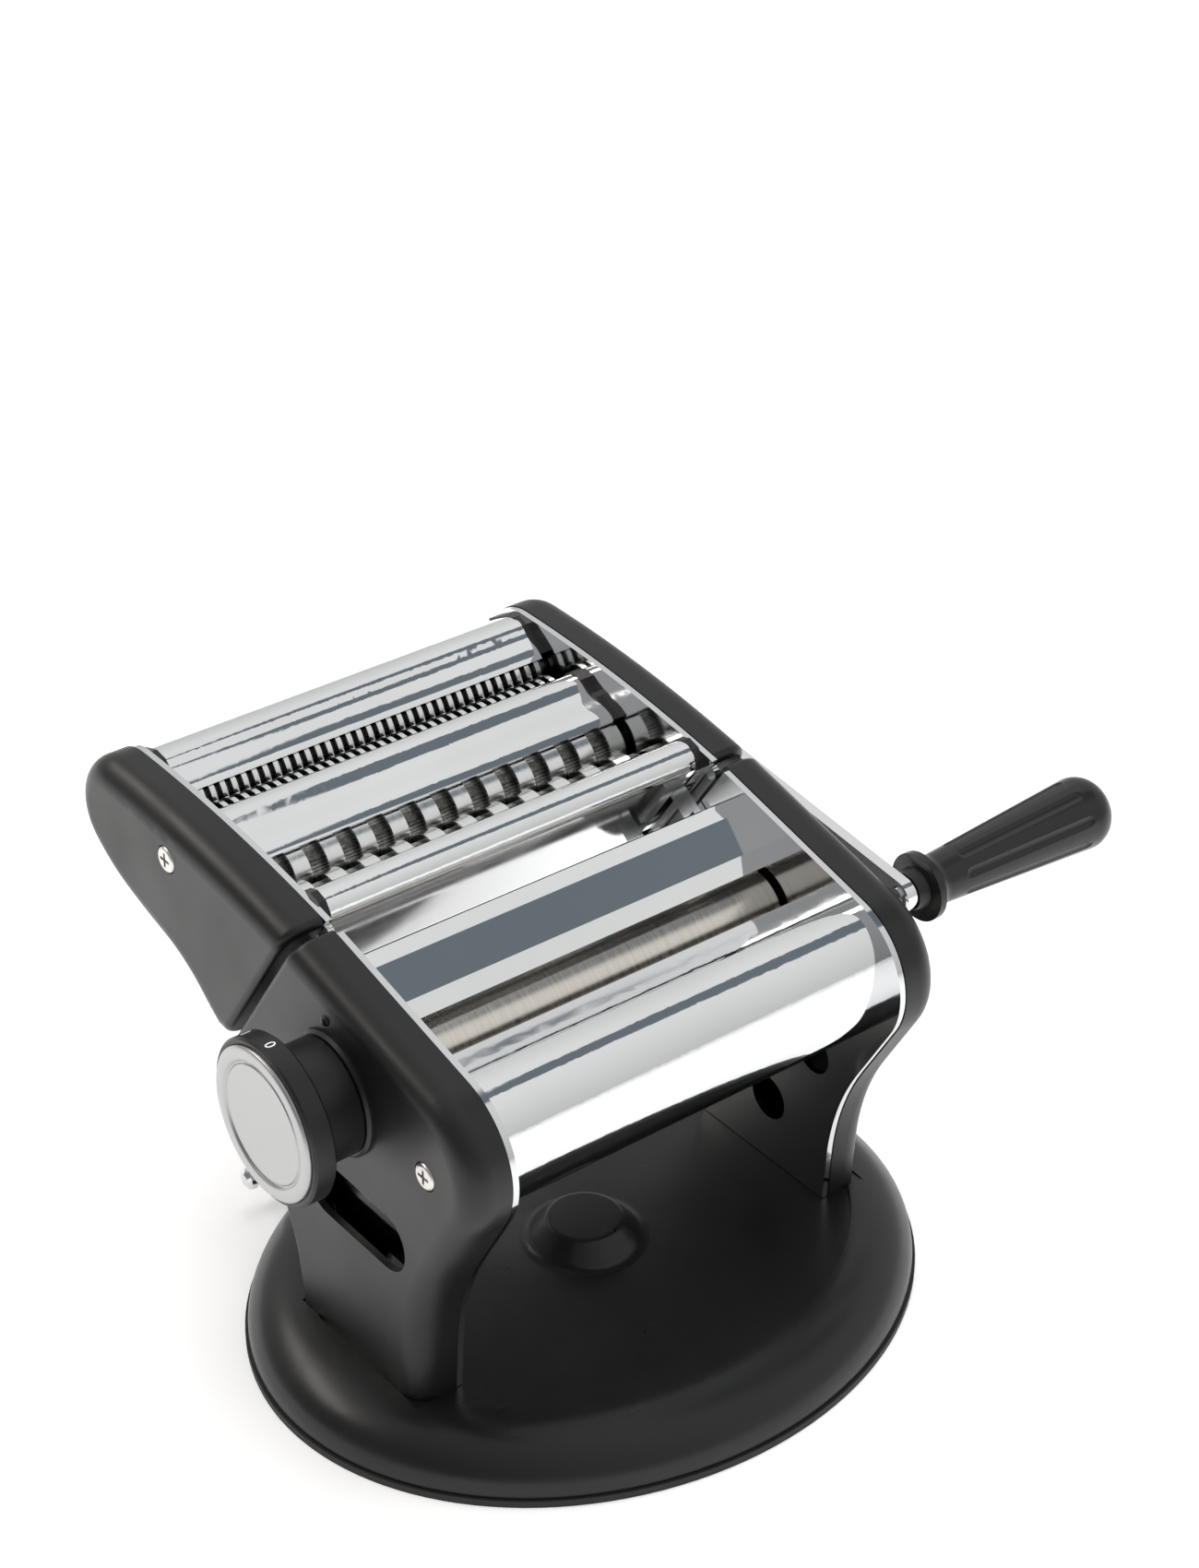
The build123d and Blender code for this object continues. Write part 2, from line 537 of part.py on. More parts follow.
def unit_hooks():
    """Claws that hook over the upper rod, and tongues that rest behind the lower one."""
    length = hypot(1, SEAM_SLOPE)
    up = (-1 / length, SEAM_SLOPE / length)
    out = (up[1], -up[0])

    def at(c, u, v):
        return (c[0] + u * up[0] + v * out[0], c[1] + u * up[1] + v * out[1])

    claws = []
    gap = ROD_R + AIR
    reach = 13.3
    for c in SEAM_RODS:
        shape = polygon(at(c, -4, gap), at(c, 7, gap), at(c, 7, reach), at(c, -4, reach))
        if c == SEAM_RODS[0]:
            shape = shape + polygon(at(c, gap, -2), at(c, 7, -2), at(c, 7, gap + 1), at(c, gap, gap + 1))
        pad = polygon(at(c, -4, 10.6), at(c, 7, 10.6), at(c, 7, reach), at(c, -4, reach))
        claw = prism(shape, 74.6, PLATE_IN - AIR) + prism(pad, 75, PLATE_IN)
        claws += [claw, mirror(claw, Plane.YZ)]
    save(group(*claws), "cutter_hooks")


# ---- crank --------------------------------------------------------------
def flute(angle):
    """Long shallow groove that follows the taper of the grip."""
    ends = []
    for x in (130.0, 182.0):
        r = GRIP_NECK + (GRIP_R - GRIP_NECK) * (x - 121) / (187 - 121) + FLUTE_R - FLUTE_DEEP
        ends.append(Vector(x, GRIP_C[0] + r * cos(angle), GRIP_C[1] + r * sin(angle)))
    low, high = ends
    run = high - low
    at = Plane(origin=(low + high) / 2, z_dir=run)
    return at * Cylinder(FLUTE_R, run.length) + Pos(*low) * Sphere(FLUTE_R) + Pos(*high) * Sphere(FLUTE_R)


def crank():
    dy, dz = GRIP_C[0] - WIDE_REAR[0], GRIP_C[1] - WIDE_REAR[1]
    angle = degrees(atan2(dz, dy))
    mid = ((GRIP_C[0] + WIDE_REAR[0]) / 2, (GRIP_C[1] + WIDE_REAR[1]) / 2)
    bar = Pos(*mid) * Rot(0, 0, angle) * SlotCenterToCenter(hypot(dy, dz), ARM_W)
    arm = prism(bar, ARM_X0, ARM_X1)
    arm = arm - rod(WIDE_REAR, CRANK_R, ARM_X0 - 1, ARM_X1 + 1)
    arm = arm - rod(GRIP_C, SPINDLE_R, ARM_X0 - 1, ARM_X1 + 1)
    save(arm, "crank_arm")
    shaft = turned(WIDE_REAR, (80, CRANK_R - 0.5), (80.5, CRANK_R), (100, CRANK_R), (100, 5.5), (ARM_X0, 5.5),
                   (ARM_X0, CRANK_R), (ARM_X1 + 0.8, CRANK_R))
    pin = Pos(SOCKET_END - 1.6, *WIDE_REAR) * Cylinder(0.75, 12)
    save(shaft + pin, "crank_shaft")
    spindle = turned(GRIP_C, (ARM_X0 - 0.8, SPINDLE_R), (SPINDLE_X1, SPINDLE_R))
    save(spindle, "grip_spindle")
    grip_shape = area(Line((GRIP_X0, 0), (GRIP_X0, 6.6)), Line((GRIP_X0, 6.6), (112.5, 7.6)),
                      Line((112.5, 7.6), (113, 12.2)), Line((113, 12.2), (115.6, 12.2)),
                      ThreePointArc((115.6, 12.2), (117.6, 9.8), (121, GRIP_NECK)),
                      Line((121, GRIP_NECK), (187, GRIP_R)),
                      ThreePointArc((187, GRIP_R), (193.4, 11.3), (196.8, 7.0)),
                      ThreePointArc((196.8, 7.0), (198.0, 4.0), (GRIP_X1, 1.4)),
                      Line((GRIP_X1, 1.4), (GRIP_X1, 0)), Line((GRIP_X1, 0), (GRIP_X0, 0)))
    plane = Plane(origin=(0, *GRIP_C), x_dir=(1, 0, 0), z_dir=(0, -1, 0))
    body = revolve(plane * grip_shape, Axis((0, *GRIP_C), (1, 0, 0)))
    for k in range(FLUTES):
        body = body - flute(2 * pi * (k + 0.5) / FLUTES)
    save(body - rod(GRIP_C, SPINDLE_R + RUN, GRIP_X0 - 1, SPINDLE_X1 + 1), "grip")


# ---- base and suction ---------------------------------------------------
def dome(grow, low, foot, top):
    """Oval dome whose rim follows a quarter ellipse."""
    sections = [Plane.XY.offset(low) * Ellipse(BASE_A + grow, BASE_B + grow)]
    steps = 6
    for k in range(steps + 1):
        t = pi / 2 * k / steps
        inset = RIM_W * (1 - cos(t)) - grow
        sections.append(Plane.XY.offset(foot + (top - foot) * sin(t)) * Ellipse(BASE_A - inset, BASE_B - inset))
    return loft(sections)


BEARINGS_Y = ((12.0, 18.0), (78.0, 84.0))


def base():
    shell = dome(0, RING_H, RIM_FOOT_Z, RIM_TOP_Z) - dome(-SHELL_T, RING_H - 1, RIM_FOOT_Z - 0.5, ROOF_Z)
    recess = Plane.XY.offset(FLOOR_Z) * Ellipse(BASE_A - RIM_W, BASE_B - RIM_W)
    shell = shell - extrude(recess, 10)
    high = BOSS_TOP_Z - FLOOR_Z
    boss = Pos(0, 0, FLOOR_Z - 1 + (high + 1) / 2) * Cone(BOSS_R_LOW, BOSS_R_TOP, high + 1)
    boss = fillet(boss.edges().group_by(Axis.Z)[-1], 2)
    hollow = Pos(0, 0, (ROOF_Z - 1 + 25) / 2) * Cone(BOSS_R_LOW - 3, BOSS_R_TOP - 2, 25 - ROOF_Z + 1)
    shell = shell + boss
    foot = [e for e in shell.edges() if abs(e.center().Z - FLOOR_Z) < 0.1 and 18 < e.bounding_box().size.X / 2 < 24]
    shell = try_fillet(shell, foot, (5.0, 4.0, 3.0, 2.0)) - hollow
    for y0, y1 in BEARINGS_Y:
        lug = block(-6, 6, y0, y1, 6.5, ROOF_Z + 0.5)
        shell = shell + lug
    shell = shell - Pos(0, 60, LEVER_Z) * Rot(90, 0, 0) * Cylinder(SUCT_R + RUN, 120)
    for x in (-85, 85):
        for y in FOOT_SCREWS_Y:
            shell = shell - Pos(x, y, FLOOR_Z) * Cylinder(2.2, 12)
    pad = block(76.4, COVER_OUT + 0.1, LEG_FRONT[0] - 0.3, LEG_REAR[0] + 0.4, FLOOR_Z, 30)
    save(shell - both(pad), "base_shell")
    ring = extrude(Ellipse(BASE_A + RING_LIP, BASE_B + RING_LIP) - Ellipse(BASE_A - RING_W, BASE_B - RING_W), RING_H)
    save(ring, "foot_ring")
    screws = []
    for x in (-85, 85):
        for y in FOOT_SCREWS_Y:
            low = ROOF_Z - 2.2
            head = Pos(x, y, low + 1.1) * Cylinder(3.8, 2.2)
            screws.append(head + Pos(x, y, low + 5) * Cylinder(2.0, 9))
    save(group(*screws), "base_screws")


def along_y(r, y0, y1, x=0, z=LEVER_Z):
    return Pos(x, (y0 + y1) / 2, z) * Rot(90, 0, 0) * Cylinder(r, y1 - y0)


def suction():
    off = CAM_E / 2 ** 0.5
    half = 5.0
    shaft = along_y(SUCT_R, half, LEVER_Y + 2.5) + along_y(SUCT_R, -12, -half)
    shaft = shaft + along_y(PIN_R, -half, half, -off, LEVER_Z - off)
    hub = Pos(0, LEVER_Y, LEVER_Z) * Rot(90, 0, 0) * Cylinder(4.6, 5.5)
    save(shaft + hub, "suction_shaft")
    lever = rod((LEVER_Y, LEVER_Z), LEVER_R, LEVER_X, -4.0)
    lever = lever - Pos(0, LEVER_Y, LEVER_Z) * Rot(90, 0, 0) * Cylinder(4.6, 6)
    head = turned((LEVER_Y, LEVER_Z), (LEVER_X - 5, HEAD_R - 2), (LEVER_X - 4, HEAD_R - 0.5),
                  (LEVER_X - 2, HEAD_R), (LEVER_X, HEAD_R - 1.2), (LEVER_X + 2, LEVER_R))
    save(lever + head, "suction_lever")
    pin_z = LEVER_Z - off
    yoke = block(-11, 11, -4.5, 4.5, 5.0, 15.6)
    slot = block(-8, 8, -6, 6, pin_z - PIN_R - AIR, pin_z + PIN_R + AIR)
    save(yoke - slot, "suction_stem")
    cup_face = polygon((0, 2.6), (44, 1.6), (54, 0.4), (56, 0.4), (56, 1.0), (45, 3.2), (12, 3.8), (9, 5.0), (0, 5.0))
    save(revolve(Plane.XZ * cup_face, Axis.Z), "suction_cup")


base()
suction()
main_covers()
unit_covers()
frames()
body_sheets()
rollers()
gap_parts()
dial_parts()
cutters()
unit_sheets()
unit_hooks()
crank()
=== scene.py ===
"""Looks of a manual pasta roller machine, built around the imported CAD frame."""
import json
import math

import bmesh
import bpy
from mathutils import Matrix, Vector


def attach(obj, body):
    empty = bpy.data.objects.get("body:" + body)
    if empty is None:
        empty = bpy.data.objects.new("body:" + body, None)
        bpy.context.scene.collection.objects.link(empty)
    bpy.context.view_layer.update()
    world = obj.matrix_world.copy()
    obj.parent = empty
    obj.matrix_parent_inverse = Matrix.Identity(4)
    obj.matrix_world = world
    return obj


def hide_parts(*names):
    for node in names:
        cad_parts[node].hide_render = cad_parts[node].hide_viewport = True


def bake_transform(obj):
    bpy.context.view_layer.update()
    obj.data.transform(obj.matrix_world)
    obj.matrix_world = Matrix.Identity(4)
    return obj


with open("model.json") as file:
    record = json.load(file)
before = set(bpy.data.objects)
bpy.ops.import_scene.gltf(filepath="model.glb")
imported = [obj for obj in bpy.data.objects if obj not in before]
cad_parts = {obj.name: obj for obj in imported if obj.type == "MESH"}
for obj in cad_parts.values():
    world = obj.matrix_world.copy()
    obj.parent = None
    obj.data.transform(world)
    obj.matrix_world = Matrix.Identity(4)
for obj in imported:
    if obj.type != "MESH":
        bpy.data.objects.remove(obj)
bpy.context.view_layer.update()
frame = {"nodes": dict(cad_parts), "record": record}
NODES = frame["nodes"]
MM = 0.001

# ---- places and sizes, in mm, as (y, z) for lines along X ----------------
DIAL = (3.6, 122.7)
DIAL_RIM = 28.3
DIGITS, DIGIT_STEP, DIGIT_X, DIGIT_SIZE = 8, 30, -117.2, 5.2
INDEX_AT = (7.4, 147.8)
WIDE_REAR, WIDE_FRONT = (84.0, 147.5), (64.409, 143.479)
NARROW_REAR, NARROW_FRONT = (129.5, 157.0), (109.909, 152.979)
WIDE_RADII, NARROW_RADII = (8.2, 11.4), (8.6, 11.0)      # groove and ring
WIDE_PITCH, WIDE_RING, WIDE_END = 13.0, 6.2, 74.9
TOOTH_LOW, TOOTH_HIGH, TEETH = 8.25, 8.75, 48
CUTTERS = {
    "cutter_wide_rear": (WIDE_REAR, *WIDE_RADII),
    "cutter_wide_front": (WIDE_FRONT, *WIDE_RADII),
    "cutter_narrow_rear": (NARROW_REAR, *NARROW_RADII),
    "cutter_narrow_front": (NARROW_FRONT, *NARROW_RADII),
}

# ---- camera --------------------------------------------------------------
CAMERA_AT = Vector((-0.5309, -0.6895, 0.7443))
CAMERA_RIGHT = Vector((0.7897, -0.6135, 0.0019))
CAMERA_FORWARD = Vector((0.5212, 0.6693, -0.5295))
FOCAL, FRAME_HEIGHT, SENSOR = 3561, 1700, 36.0


# ---- node helpers --------------------------------------------------------
def calc(tree, operation, *values):
    """Math node; each value is a number or another node's output."""
    node = tree.nodes.new("ShaderNodeMath")
    node.operation = operation
    for socket, value in zip(node.inputs, values):
        if isinstance(value, (int, float)):
            socket.default_value = value
        else:
            tree.links.new(value, socket)
    return node.outputs[0]


def remap(tree, value, low, high, to_low=0.0, to_high=1.0, smooth=False):
    node = tree.nodes.new("ShaderNodeMapRange")
    if smooth:
        node.interpolation_type = "SMOOTHSTEP"
    limits = {"From Min": low, "From Max": high, "To Min": to_low, "To Max": to_high}
    for name, limit in limits.items():
        node.inputs[name].default_value = limit
    tree.links.new(value, node.inputs["Value"])
    return node.outputs["Result"]


def split_coord(tree, kind):
    coord = tree.nodes.new("ShaderNodeTexCoord")
    split = tree.nodes.new("ShaderNodeSeparateXYZ")
    tree.links.new(coord.outputs[kind], split.inputs[0])
    return split.outputs


class Mat:
    """A Principled material and short calls that add nodes to it."""

    def __init__(self, name, **values):
        self.mat = bpy.data.materials.new(name)
        self.mat.use_nodes = True
        self.tree = self.mat.node_tree
        self.bsdf = self.tree.nodes["Principled BSDF"]
        for key, value in values.items():
            self.bsdf.inputs[key].default_value = value
        self.coord = self.tree.nodes.new("ShaderNodeTexCoord").outputs["Object"]

    def link(self, a, b):
        self.tree.links.new(a, b)

    def noise(self, scale, detail=3.0, stretch=(1, 1, 1)):
        mapping = self.tree.nodes.new("ShaderNodeMapping")
        mapping.inputs["Scale"].default_value = stretch
        self.link(self.coord, mapping.inputs["Vector"])
        return self.noise_at(mapping.outputs["Vector"], scale, detail)

    def noise_at(self, vector, scale, detail):
        node = self.tree.nodes.new("ShaderNodeTexNoise")
        node.inputs["Scale"].default_value = scale
        node.inputs["Detail"].default_value = detail
        self.link(vector, node.inputs["Vector"])
        return node.outputs["Fac"]

    def ramp(self, fac, stops):
        node = self.tree.nodes.new("ShaderNodeValToRGB")
        band = node.color_ramp
        while len(band.elements) < len(stops):
            band.elements.new(0.5)
        for element, (pos, value) in zip(band.elements, stops):
            element.position = pos
            colour = value if isinstance(value, tuple) else (value,) * 3
            element.color = (*colour, 1)
        self.link(fac, node.inputs["Fac"])
        return node.outputs["Color"]

    def colour(self, fac, stops):
        self.link(self.ramp(fac, stops), self.bsdf.inputs["Base Color"])

    def roughness(self, fac, stops):
        self.link(self.ramp(fac, stops), self.bsdf.inputs["Roughness"])

    def bump(self, height, depth, strength):
        node = self.tree.nodes.new("ShaderNodeBump")
        node.inputs["Distance"].default_value = depth
        node.inputs["Strength"].default_value = strength
        self.link(height, node.inputs["Height"])
        self.link(node.outputs["Normal"], self.bsdf.inputs["Normal"])

    def from_axis(self, centre):
        """Distance of a point from a line along X."""
        split = self.tree.nodes.new("ShaderNodeSeparateXYZ")
        self.link(self.coord, split.inputs[0])
        squares = []
        for axis, middle in zip((1, 2), centre):
            shift = calc(self.tree, "SUBTRACT", split.outputs[axis], middle * MM)
            squares.append(calc(self.tree, "POWER", shift, 2))
        return calc(self.tree, "SQRT", calc(self.tree, "ADD", *squares))


# ---- finishes ------------------------------------------------------------
def satin_black(name, level, rough):
    """Moulded black with a fine grain."""
    m = Mat(name, Roughness=rough)
    m.bsdf.inputs["Specular IOR Level"].default_value = 0.42
    m.colour(m.noise(14, 4), [(0.3, (level, level, level * 1.02)), (0.7, level * 1.25)])
    m.roughness(m.noise(35, 5), [(0.3, rough - 0.04), (0.7, rough + 0.05)])
    m.bump(m.noise(1500, 2), 0.00004, 0.5)
    return m.mat


def bright_metal(name, colour, rough, smudge):
    """Polished metal with faint smudges."""
    m = Mat(name, Metallic=1.0, Roughness=rough)
    m.colour(m.noise(18, 3), [(0.35, tuple(c * 0.96 for c in colour)), (0.65, colour)])
    m.roughness(m.noise(60, 6), [(0.35, rough), (0.75, rough + smudge)])
    return m.mat


def turned_metal(name, colour, rough):
    """Steel with fine lines that run around the X axis."""
    m = Mat(name, Metallic=1.0, Roughness=rough)
    lines = m.noise(900, 3, stretch=(1, 0.04, 0.04))
    m.colour(lines, [(0.3, tuple(c * 0.9 for c in colour)), (0.7, colour)])
    m.roughness(lines, [(0.25, rough), (0.8, rough + 0.08)])
    m.bump(lines, 0.00002, 0.4)
    return m.mat


def cutter_steel(name, centre, core, outer):
    """Bright ground rings with the grooves between them painted dark as shade."""
    span = 15.0
    m = Mat(name, Metallic=1.0, Roughness=0.2)
    share = calc(m.tree, "MULTIPLY", m.from_axis(centre), 1 / (span * MM))
    edge = outer / span - 0.03
    # painted shade: colour falls from bright at the ring edge to near black at the groove radius,
    # standing in for shade between the rings
    m.colour(share, [(core / span, 0.10), (edge - 0.04, 0.20), (edge, (0.82, 0.83, 0.82))])
    m.roughness(m.noise(500, 3, stretch=(1, 0.05, 0.05)), [(0.3, 0.16), (0.75, 0.27)])
    m.bump(m.noise(900, 3, stretch=(1, 0.04, 0.04)), 0.00001, 0.3)
    return m.mat


def groove_steel(name):
    """Dull steel of the fluted drums between the cutting rings."""
    m = Mat(name, Metallic=1.0, Roughness=0.3)
    m.colour(m.noise(700, 3), [(0.3, (0.22, 0.22, 0.21)), (0.7, (0.48, 0.48, 0.46))])
    m.roughness(m.noise(300, 3), [(0.3, 0.25), (0.7, 0.4)])
    return m.mat


def spun_metal(name, colour, rough, centre):
    """Satin metal with fine rings round the dial's axis."""
    m = Mat(name, Metallic=1.0, Roughness=rough)
    line = m.tree.nodes.new("ShaderNodeCombineXYZ")
    m.link(m.from_axis(centre), line.inputs[0])
    rings = m.noise_at(line.outputs[0], 2600, 3)
    m.colour(rings, [(0.3, tuple(c * 0.93 for c in colour)), (0.7, colour)])
    m.roughness(rings, [(0.3, rough - 0.04), (0.7, rough + 0.06)])
    m.bump(rings, 0.00001, 0.35)
    return m.mat


def white_paint(name):
    m = Mat(name, Roughness=0.45)
    m.colour(m.noise(300, 3), [(0.3, 0.72), (0.7, 0.85)])
    return m.mat


MATERIALS = {
    "black_shell": satin_black("black_shell", 0.008, 0.30),
    "black_plastic": satin_black("black_plastic", 0.008, 0.38),
    "grip_plastic": satin_black("grip_plastic", 0.010, 0.30),
    "rubber": satin_black("rubber", 0.014, 0.6),
    "chrome_sheet": bright_metal("chrome_sheet", (0.87, 0.875, 0.88), 0.045, 0.03),
    "polished_steel": bright_metal("polished_steel", (0.74, 0.75, 0.76), 0.06, 0.05),
    "roller_steel": turned_metal("roller_steel", (0.80, 0.76, 0.69), 0.2),
    "gear_steel": turned_metal("gear_steel", (0.45, 0.45, 0.46), 0.35),
    "bright_steel": bright_metal("bright_steel", (0.75, 0.75, 0.76), 0.14, 0.06),
    "screw_steel": bright_metal("screw_steel", (0.70, 0.68, 0.64), 0.3, 0.08),
    "satin_metal": spun_metal("satin_metal", (0.46, 0.46, 0.46), 0.36, DIAL),
}
MARK_WHITE = white_paint("mark_white")


def dress_cad_nodes():
    slots = {s["node"]: s["material_slot"] for s in frame["record"]["subparts"]}
    for name, node in NODES.items():
        mat = MATERIALS[slots[name]]
        if name in CUTTERS:
            mat = cutter_steel(name + "_steel", *CUTTERS[name])
        node.data.materials.clear()
        node.data.materials.append(mat)


# ---- detail pieces -------------------------------------------------------
def add_object(name, mesh):
    thing = bpy.data.objects.new(name, mesh)
    bpy.context.scene.collection.objects.link(thing)
    return thing


def add_mesh(name, bm, mat, body, smooth=True, ride=True):
    bmesh.ops.recalc_face_normals(bm, faces=bm.faces)
    mesh = bpy.data.meshes.new(name)
    bm.to_mesh(mesh)
    bm.free()
    for face in mesh.polygons:
        face.use_smooth = smooth
    mesh.materials.append(mat)
    piece = add_object(name, mesh)
    if ride:
        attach(piece, body)
    return piece


def around_x(centre):
    """Place a point at (x, radius, angle) about the X line through centre."""
    def place(x, r, a):
        return Vector((x, centre[0] + r * math.cos(a), centre[1] + r * math.sin(a))) * MM
    return place


def around_z(z, r, a):
    return Vector((r * math.cos(a), r * math.sin(a), z)) * MM


def ring(bm, place, along, radii):
    """A row of vertices once round, with a radius for each."""
    turn = 2 * math.pi / len(radii)
    return [bm.verts.new(place(along, r, turn * k)) for k, r in enumerate(radii)]


def turned_mesh(profile, place, around):
    """Turn (along, radius) corners in mm; a radius of 0 closes the form."""
    bm = bmesh.new()
    rows = [ring(bm, place, along, [r] * (around if r else 1)) for along, r in profile]
    for low, high in zip(rows, rows[1:]):
        for k in range(around):
            n = (k + 1) % around
            corners = [low[k % len(low)], low[n % len(low)], high[n % len(high)], high[k % len(high)]]
            bm.faces.new(list(dict.fromkeys(corners)))
    return bm


def lathe(name, centre, profile, mat, body, around=160):
    """Turned piece about the X line through centre."""
    return add_mesh(name, turned_mesh(profile, around_x(centre), around), mat, body)


def dial_face():
    """Satin disc with a shallow dish, a groove and a raised bead."""
    profile = [(-121.0, 0), (-121.05, 6), (-121.3, 12), (-121.75, 17), (-121.95, 19.2), (-122.0, 19.7),
               (-121.9, 20.0), (-121.4, 20.2), (-121.3, 20.6), (-121.4, 21.0), (-122.1, 21.3),
               (-122.4, 22.0), (-122.55, 23.4), (-122.5, 24.8), (-122.3, 25.6), (-121.9, 26.0),
               (-121.4, 26.1), (-118.2, 26.1), (-118.1, 0)]
    face = lathe("dial_face", DIAL, profile, MATERIALS["satin_metal"], "dial")
    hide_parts("dial_disc")


def digit_mesh(number):
    """The flat digit as a mesh, in mm."""
    curve = bpy.data.curves.new("digit_curve", "FONT")
    curve.body = str(number)
    curve.size = DIGIT_SIZE
    curve.extrude = 0.12
    curve.align_x = "CENTER"
    holder = add_object("digit_holder", curve)
    bpy.context.view_layer.update()
    graph = bpy.context.evaluated_depsgraph_get()
    flat = bpy.data.meshes.new_from_object(holder.evaluated_get(graph))
    bpy.data.objects.remove(holder)
    bpy.data.curves.remove(curve)
    bm = bmesh.new()
    bm.from_mesh(flat)
    bpy.data.meshes.remove(flat)
    return bm


def digit(number, angle):
    """Raised digit bent round the rim of the dial."""
    bm = digit_mesh(number)
    place = around_x(DIAL)
    half = max(v.co.y for v in bm.verts) / 2
    lift = 0.02
    for v in bm.verts:
        u, up, out = v.co.x, v.co.y - half, v.co.z
        v.co = place(DIGIT_X + up, DIAL_RIM + out + lift, angle + u / DIAL_RIM)
    add_mesh("dial_digit_%d" % number, bm, MARK_WHITE, "dial", smooth=False)


def dial_marks():
    for number in range(DIGITS):
        digit(number, math.radians(90 - DIGIT_STEP * number))
    nub = [(-94.8, 1.9), (-95.2, 1.8), (-95.7, 1.5), (-96.0, 1.0), (-96.1, 0.5), (-96.12, 0)]
    lathe("dial_index", INDEX_AT, nub, MATERIALS["black_plastic"], "body", 32)


def suction_disc():
    """Rubber cup whose rim stays on the table while its hub is lifted."""
    profile = [(2.7, 0), (2.35, 20), (1.7, 44), (0.5, 53.5), (0.45, 55.6), (0.7, 55.9), (0.95, 55.5),
               (1.7, 52), (3.1, 45), (3.45, 30), (3.7, 13), (3.95, 11), (4.7, 9.3), (4.9, 8.9), (4.95, 0)]
    bm = turned_mesh(profile, around_z, 96)
    cup = add_mesh("suction_disc", bm, MATERIALS["rubber"], "body", ride=False)
    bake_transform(cup)
    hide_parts("suction_cup")


def serrated(name, centre, grooves, body):
    """Fluted drums between the rings of a cutter."""
    bm = bmesh.new()
    place = around_x(centre)
    count = TEETH * 2
    radii = [TOOTH_HIGH if k % 2 else TOOTH_LOW for k in range(count)]
    for groove in grooves:
        left, right = [ring(bm, place, x, radii) for x in groove]
        for k in range(count):
            n = (k + 1) % count
            bm.faces.new((left[k], left[n], right[n], right[k]))
        bm.faces.new(left)
        bm.faces.new(list(reversed(right)))
    add_mesh(name, bm, groove_steel(name + "_steel"), body, smooth=False)


def cutter_teeth():
    air, shortest = 0.02, 0.5
    for name, centre, body, first, count in (("wide_rear_teeth", WIDE_REAR, "wide_rear", -5.5, 12),
                                             ("wide_front_teeth", WIDE_FRONT, "wide_front", -5.0, 11)):
        edges = [-WIDE_END]
        for k in range(count):
            middle = WIDE_PITCH * (first + k)
            edges += [middle - WIDE_RING / 2, middle + WIDE_RING / 2]
        edges.append(WIDE_END)
        grooves = [(a + air, b - air) for a, b in zip(edges[::2], edges[1::2])]
        serrated(name, centre, [g for g in grooves if g[1] - g[0] > shortest], body)


# ---- stage ---------------------------------------------------------------
def rectangle(name, width, height):
    mesh = bpy.data.meshes.new(name)
    w, h = width / 2, height / 2
    mesh.from_pydata([(-w, -h, 0), (w, -h, 0), (w, h, 0), (-w, h, 0)], [], [(0, 1, 2, 3)])
    return add_object(name, mesh)


def area_light(name, place, target, size, power, colour=(1, 1, 1), seen=True):
    data = bpy.data.lights.new(name, "AREA")
    data.shape = "RECTANGLE"
    data.size, data.size_y = size
    data.energy = power
    data.color = colour
    light = add_object(name, data)
    light.location = place
    light.rotation_euler = (Vector(target) - Vector(place)).to_track_quat("-Z", "Y").to_euler()
    light.visible_glossy = seen


def floor():
    ground = rectangle("floor", 12.0, 12.0)
    m = Mat("floor", Roughness=0.9)
    m.colour(m.noise(3, 2), [(0.3, 0.90), (0.7, 0.93)])
    m.bsdf.inputs["Emission Color"].default_value = (1, 1, 1, 1)
    m.bsdf.inputs["Emission Strength"].default_value = 0.24
    ground.data.materials.append(m.mat)


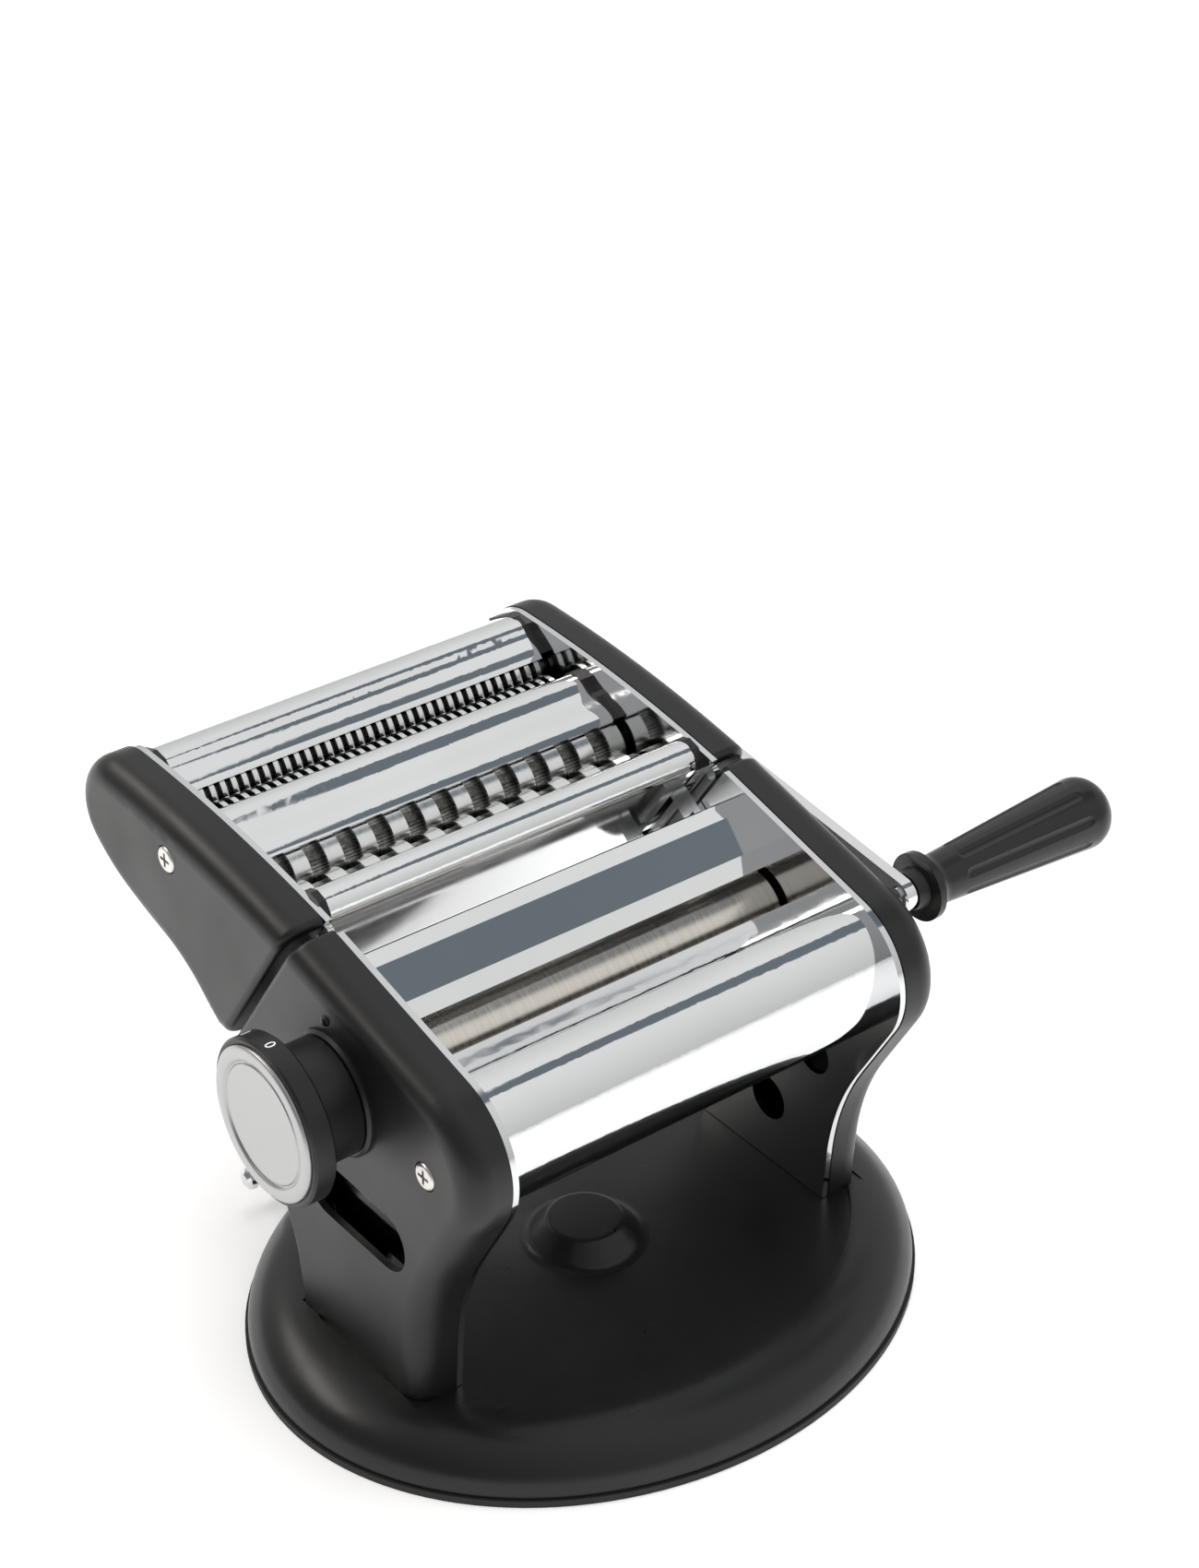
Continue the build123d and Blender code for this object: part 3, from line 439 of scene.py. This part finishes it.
def card(name, place, target, size, colour, soft):
    """Soft-edged panel that only reflections see."""
    panel = rectangle(name, *size)
    panel.location = place
    panel.rotation_euler = (Vector(target) - Vector(place)).to_track_quat("Z", "Y").to_euler()
    mat = bpy.data.materials.new(name)
    mat.use_nodes = True
    tree = mat.node_tree
    tree.nodes.clear()
    split = split_coord(tree, "Object")
    masks = []
    for axis in (0, 1):
        half = size[axis] / 2
        away = calc(tree, "ABSOLUTE", split[axis])
        masks.append(remap(tree, away, half, half * (1 - soft), smooth=True))
    glow = tree.nodes.new("ShaderNodeEmission")
    glow.inputs["Color"].default_value = (*colour, 1)
    clear = tree.nodes.new("ShaderNodeBsdfTransparent")
    mix = tree.nodes.new("ShaderNodeMixShader")
    out = tree.nodes.new("ShaderNodeOutputMaterial")
    tree.links.new(calc(tree, "MULTIPLY", *masks), mix.inputs["Fac"])
    tree.links.new(clear.outputs[0], mix.inputs[1])
    tree.links.new(glow.outputs[0], mix.inputs[2])
    tree.links.new(mix.outputs[0], out.inputs["Surface"])
    panel.data.materials.append(mat)
    panel.visible_camera = False
    panel.visible_diffuse = False
    panel.visible_shadow = False


def sky():
    """Pale studio that darkens to the left and towards the horizon."""
    world = bpy.data.worlds.new("studio")
    bpy.context.scene.world = world
    world.use_nodes = True
    tree = world.node_tree
    split = split_coord(tree, "Generated")
    sides = remap(tree, split[0], -0.9, 0.3, 0.30, 1.0)
    up = remap(tree, split[2], 0.0, 0.8, 0.60, 0.80)
    back = tree.nodes["Background"]
    tree.links.new(calc(tree, "MULTIPLY", sides, up), back.inputs["Color"])
    back.inputs["Strength"].default_value = 1.0


def studio():
    sky()
    centre = (0, 0, 0.1)
    area_light("top_soft", (0.3, 0.2, 1.9), centre, (1.8, 1.8), 30, seen=False)
    area_light("fillet_strip", (-0.75, 1.0, 1.15), centre, (1.2, 0.30), 7, (1.0, 0.95, 0.9))
    card("grey_card", (0.655, -0.17, 0.99), (0.03, 0.03, 0.15), (0.41, 0.66), (0.15, 0.175, 0.20), 0.16)
    floor()


def camera():
    data = bpy.data.cameras.new("camera")
    cam = add_object("camera", data)
    data.sensor_fit = "VERTICAL"
    data.sensor_height = SENSOR
    data.lens = FOCAL / FRAME_HEIGHT * SENSOR
    data.clip_start = 0.05
    forward = CAMERA_FORWARD.normalized()
    up = CAMERA_RIGHT.normalized().cross(forward).normalized()
    right = forward.cross(up)
    turn = Matrix((right, up, -forward)).transposed().to_4x4()
    cam.matrix_world = Matrix.Translation(CAMERA_AT) @ turn
    bpy.context.scene.camera = cam
    bpy.context.scene.view_settings.view_transform = "Standard"


dress_cad_nodes()
dial_face()
dial_marks()
suction_disc()
cutter_teeth()
studio()
camera()
